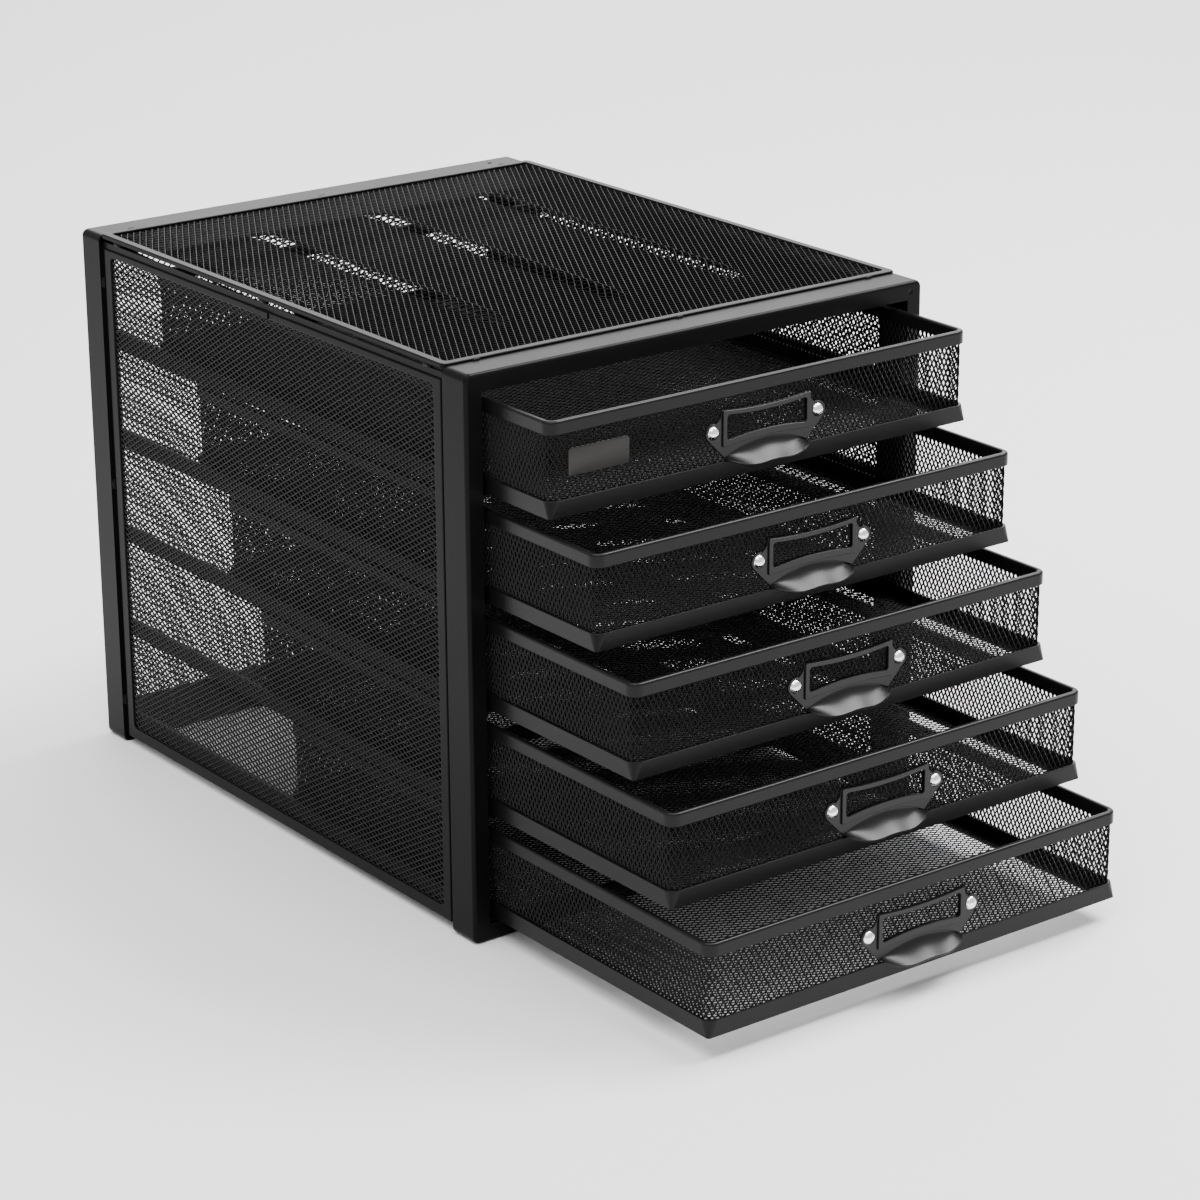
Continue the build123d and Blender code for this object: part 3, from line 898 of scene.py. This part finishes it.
@dataclass
class Handles:
    """The pressed handle plates with their finger scoops, and the domed rivets.

    Sizes are in millimetres.  Heights count from the scoop's upper corners, depths from the
    plate's front.  The label frame and its window each have a half width, a lower and an
    upper height.  The scoop's strip is thinner where it is short, towards its corners, and
    its root ends inside the plate.
    """

    finishes: Finishes
    profile: Profile = Profile()
    steel: float = 1.0
    edge: float = 0.22
    half: float = 24.5
    ear: tuple[float, float] = (31.0, 13.0)
    ear_radius: float = 4.5
    neck_angle: float = math.radians(113)
    neck_hollow: float = 0.8
    label: Triple = (26.0, 5.6, 23.1)
    label_bow: float = 1.4
    label_raise: float = 1.0
    label_corner: float = 0.5
    window: Triple = (23.7, 8.6, 20.8)
    window_bow: float = 1.8
    window_corner: float = 1.6
    scoop_half: float = 24.0
    scoop_arch: float = 5.9
    scoop_reach: float = 8.0
    scoop_fullness: float = 2.5
    scoop_recess: float = 0.55
    scoop_ramp: float = 0.56
    scoop_turn: float = math.radians(84)
    thin_share: float = 0.45
    thinnest: float = 0.1
    root_height: float = 0.5
    root_back: float = 0.1
    root_front: float = 0.2
    lip_drop: float = 2.5
    lip_wave: float = 0.9
    lip_end: float = 0.2
    lip_bulge: float = 0.8
    lip_steps: int = 4
    rows: int = 44
    columns: int = 16
    sharp_angle: float = math.radians(24)
    merge_distance: float = 0.004 * MM

    def outline(self) -> list[Vector]:
        """Outline the plate, anticlockwise from the scoop's right corner.

        Returns:
            The points: foot, ear, neck, bowed top and the other side, with the arch below.
        """
        arc = self.profile.arc
        ear = Vector(self.ear)
        foot = Vector((self.half, 0.0))
        corner = Vector((self.label[0], self.label[2]))
        neck = ear + self.ear_radius * heading(self.neck_angle)
        to_foot = foot - ear
        tangent = math.atan2(to_foot.y, to_foot.x) + math.acos(self.ear_radius / to_foot.length)
        ear_end = ear + self.ear_radius * heading(tangent)
        crown = ear + self.ear_radius * heading((self.neck_angle + tangent) / 2)
        slope = (neck - corner).normalized()
        hollow = (corner + neck) / 2 + self.neck_hollow * Vector((slope.y, -slope.x))
        right = [foot, *arc(ear_end, crown, neck), *arc(neck, hollow, corner), corner]
        left = mirrored(right)
        sunk = Vector((0.0, self.label[2] - self.label_bow))
        arch = Vector((0.0, self.scoop_arch))
        return right + arc(corner, sunk, left[0])[1:] + left + arc(left[-1], arch, foot)[1:]

    def prism(self, work: bmesh.types.BMesh, outer: list[Vector], hole: list[Vector], front: float,
              back: float) -> None:
        """Add a flat pressed piece with a window and narrow slanted front edges.

        Args:
            work: The mesh under construction.
            outer: The piece's outline, anticlockwise.
            hole: The window's outline, anticlockwise.
            front: Its front face, measured outwards from the plate's.
            back: Its back face.
        """
        walls = []
        for outline, side in ((outer, 1), (hole, -1)):
            shrunk = self.profile.inset(outline, side * self.edge)
            layers = ((shrunk, front), (outline, front - self.edge), (outline, back))
            walls.append([[work.verts.new((point.x, -depth, point.y)) for point in points]
                          for points, depth in layers])
        for wall in walls:
            join_rings(work, wall)
        for layer in (0, -1):
            loops = [[Vector((vert.co.x, vert.co.z, 0.0)) for vert in wall[layer]] for wall in walls]
            verts = [vert for wall in walls for vert in wall[layer]]
            for triangle in tessellate_polygon(loops):
                work.faces.new([verts[index] for index in triangle])

    def scoop_ring(self, share: float) -> list[Vector]:
        """Section the scoop's bent strip: down from the arch, ramping out to the lip and back.

        Args:
            share: Its place across, from -1 to 1.

        Returns:
            The closed section's points.
        """
        x = share * self.scoop_half
        across = abs(share)
        arch_radius = (self.half ** 2 + self.scoop_arch ** 2) / (2 * self.scoop_arch)
        arch = self.scoop_arch - arch_radius + math.sqrt(arch_radius ** 2 - x ** 2)
        reach = self.scoop_reach * (1 - across ** self.scoop_fullness) ** (1 / self.scoop_fullness)
        reach += self.scoop_recess
        lip = (self.lip_drop - self.lip_end) * across ** 3 - self.lip_drop
        lip -= self.lip_wave * math.sin(math.pi * across) ** 2
        fall = arch - lip
        thickness = min(self.steel, self.thin_share * fall + self.thinnest)
        outside = []
        inside = []
        for column in range(self.columns + 1):
            # Both are quadratic curves in t: out to the lip, and down along the ramp.
            t = column / self.columns
            out = reach * t ** 2
            down = fall * ((1 - t) ** 2 + 2 * self.scoop_ramp * t * (1 - t))
            slope_out = 2 * reach * t
            slope_down = fall * (-2 * (1 - t) + 2 * self.scoop_ramp * (1 - 2 * t))
            outside.append(Vector((out - self.scoop_recess, lip + down)))
            inside.append(outside[-1] + Vector((slope_down, -slope_out)).normalized() * thickness)
        tip = (outside[-1] + inside[-1]) / 2
        nose = outside[-1] - tip
        # The lip's end bulges away from the drawer, whichever way its section leans.
        bulge = Vector((-nose.y, nose.x)) if nose.y < 0 else Vector((nose.y, -nose.x))
        turns = [math.pi * step / self.lip_steps for step in range(1, self.lip_steps)]
        rounded = [tip + nose * math.cos(turn) + bulge * math.sin(turn) * self.lip_bulge for turn in turns]
        root = [Vector((self.root_back - self.steel, arch + self.root_height)),
                Vector((-self.root_front, arch + self.root_height))]
        return [Vector((x, -point.x, point.y)) for point in outside + rounded + inside[::-1] + root]

    def plate_mesh(self, name: str, low: Vector, high: Vector) -> bpy.types.Mesh:
        """Make one handle: plate, raised label frame and scoop.

        Args:
            name: The mesh's name.
            low: The lowest corner of the handle's node.
            high: Its highest corner.

        Returns:
            The mesh, in place.
        """
        work = bmesh.new()
        window = self.profile.panel(*self.window, self.window_bow, self.label_bow, self.window_corner)
        label = self.profile.panel(*self.label, self.label_bow, self.label_bow, self.label_corner)
        self.prism(work, self.outline(), window, 0.0, -self.steel)
        self.prism(work, label, window, self.label_raise, -self.steel / 2)
        # Rows at even turns lie closer together towards the scoop's corners.
        shares = [math.sin(self.scoop_turn * (2 * row / self.rows - 1)) for row in range(self.rows + 1)]
        rings = [[work.verts.new(point) for point in self.scoop_ring(share)] for share in shares]
        join_rings(work, rings)
        for end in (rings[0], rings[-1]):
            work.faces.new(end)
        bmesh.ops.recalc_face_normals(work, faces=work.faces)
        bmesh.ops.triangulate(work, faces=work.faces)
        bmesh.ops.scale(work, vec=(MM, MM, MM), verts=work.verts)
        place = Vector(((low.x + high.x) / 2, high.y - self.steel * MM, high.z - self.label[2] * MM))
        bmesh.ops.translate(work, vec=place, verts=work.verts)
        return finish_mesh(work, name, self.finishes.handle, self.sharp_angle)

    def rivet_mesh(self, name: str, node: str) -> bpy.types.Mesh:
        """Copy a drawer's rivets, merge them and shade their domes smooth.

        Args:
            name: The new mesh's name.
            node: The rivets' node.

        Returns:
            The smooth mesh.
        """
        work = bmesh.new()
        work.from_mesh(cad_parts[node].data)
        bmesh.ops.remove_doubles(work, verts=work.verts, dist=self.merge_distance)
        return finish_mesh(work, name, self.finishes.rivet, self.sharp_angle)

    def make(self) -> None:
        """Make every drawer's handle and rivets."""
        for drawer in DRAWERS:
            handle = f"{drawer}_handle"
            mesh = self.plate_mesh(f"{handle}_smooth", *node_size(handle))
            add_piece(f"{handle}_smooth", mesh, drawer, [handle])
            rivets = f"{drawer}_rivets"
            mesh = self.rivet_mesh(f"{rivets}_smooth", rivets)
            add_piece(f"{rivets}_smooth", mesh, drawer, [rivets])
        log.info("handles with rivets: %d", len(DRAWERS))


@dataclass
class BarePlate:
    """The small brushed plate on the top drawer's front, left bare."""

    finish: bpy.types.Material
    left: float = -113.0 * MM
    width: float = 34.0 * MM
    height: float = 13.0 * MM
    middle_height: float = 24.5 * MM
    thickness: float = 0.7 * MM
    corner: float = 1.4 * MM
    corner_steps: int = 5
    edge: float = 0.25 * MM
    edge_steps: int = 2

    @staticmethod
    def round_off(work: bmesh.types.BMesh, edges: list[bmesh.types.BMEdge], radius: float,
                  steps: int) -> None:
        """Round off some edges.

        Args:
            work: The mesh under construction.
            edges: The edges.
            radius: The round's radius.
            steps: How many faces it has.
        """
        # A profile of one half is a true round.
        bmesh.ops.bevel(work, geom=edges, offset=radius, segments=steps, affect="EDGES", profile=0.5)

    def make(self) -> None:
        """Make the plate, resting on the mesh of the drawer's front wall."""
        low, _ = node_size("drawer_1_walls")
        base, _ = node_size("drawer_1_base")
        work = bmesh.new()
        bmesh.ops.create_cube(work, size=1.0)
        bmesh.ops.scale(work, vec=(self.width, self.thickness, self.height), verts=work.verts)
        upright = [edge for edge in work.edges
                   if abs(edge.verts[0].co.y - edge.verts[1].co.y) > self.thickness / 2]
        self.round_off(work, upright, self.corner, self.corner_steps)
        front = [edge for edge in work.edges if all(vert.co.y < 0 for vert in edge.verts)]
        self.round_off(work, front, self.edge, self.edge_steps)
        centre = Vector((self.left + self.width / 2, low.y - self.thickness / 2,
                         base.z + self.middle_height))
        bmesh.ops.translate(work, vec=centre, verts=work.verts)
        mesh = finish_mesh(work, "bare_plate", self.finish)
        add_piece("bare_plate", mesh, "drawer_1")
        log.info("bare plate")


# ---------------------------------------------------------------- studio


@dataclass(frozen=True)
class SoftBox:
    """A large soft light: where it hangs, what it faces, its size and its power in watts."""

    name: str
    place: Triple
    aim: Triple
    size: tuple[float, float]
    power: float

    def hang(self) -> None:
        """Put the light into the scene."""
        light = bpy.data.lights.new(self.name, "AREA")
        light.shape = "RECTANGLE"
        light.size, light.size_y = self.size
        light.energy = self.power
        lamp = bpy.data.objects.new(self.name, light)
        bpy.context.scene.collection.objects.link(lamp)
        lamp.location = self.place
        view = Vector(self.aim) - Vector(self.place)
        lamp.rotation_euler = view.to_track_quat("-Z", "Y").to_euler()


@dataclass
class Studio:
    """The pale floor, the soft lights, the white room and the camera."""

    floor_finish: PaleFloor = PaleFloor("pale_floor")
    floor_size: float = 12.0
    lights: tuple[SoftBox, ...] = (
        SoftBox("over_light", (-0.6, -0.4, 2.4), (0.0, -0.1, 0.0), (2.2, 2.6), 75.0),
        SoftBox("back_light", (1.7, 2.1, 1.35), (0.0, 0.1, 0.2), (3.0, 2.0), 46.0),
        SoftBox("key_light", (1.35, -0.10, 2.15), (0.0, -0.2, 0.1), (1.3, 1.2), 90.0))
    sky_colour: Colour = (1.0, 1.0, 1.0, 1.0)
    sky_strength: float = 1.0
    camera_place: Triple = (-1.03830, -1.30809, 0.73971)
    camera_turn: Triple = (1.226395, 0.005176, -0.646684)
    lens: float = 110.748
    sensor_width: float = 36.0
    far_end: float = 50.0

    def floor(self) -> None:
        """Lay a plain pale floor."""
        work = bmesh.new()
        bmesh.ops.create_grid(work, x_segments=1, y_segments=1, size=self.floor_size / 2)
        floor = bpy.data.objects.new("floor", finish_mesh(work, "floor", self.floor_finish.make()))
        bpy.context.scene.collection.objects.link(floor)

    def sky(self) -> None:
        """Light everything evenly with white."""
        world = bpy.data.worlds.new("white_room")
        bpy.context.scene.world = world
        world.use_nodes = True
        background = world.node_tree.nodes["Background"]
        background.inputs["Color"].default_value = self.sky_colour
        background.inputs["Strength"].default_value = self.sky_strength

    def camera(self) -> None:
        """Stand the camera where the photograph was taken from."""
        lens = bpy.data.cameras.new("camera")
        lens.lens = self.lens
        lens.sensor_width = self.sensor_width
        lens.clip_end = self.far_end
        camera = bpy.data.objects.new("camera", lens)
        bpy.context.scene.collection.objects.link(camera)
        camera.location = self.camera_place
        camera.rotation_euler = self.camera_turn
        bpy.context.scene.camera = camera

    def set_up(self) -> None:
        """Build the whole studio."""
        self.floor()
        for light in self.lights:
            light.hang()
        self.sky()
        self.camera()
        log.info("studio: %d soft lights", len(self.lights))


def main() -> None:
    """Build every piece in order."""
    Studio().set_up()
    finishes = Finishes()
    finishes.dress_steel()
    metal = ExpandedMetal()
    panels = MeshPanels(metal, finishes.mesh)
    panels.top()
    panels.sides()
    panels.back()
    drawers = DrawerMesh(metal, finishes.mesh)
    drawers.walls()
    drawers.floors()
    Handles(finishes).make()
    BarePlate(finishes.plate).make()


if __name__ == "__main__":
    main()
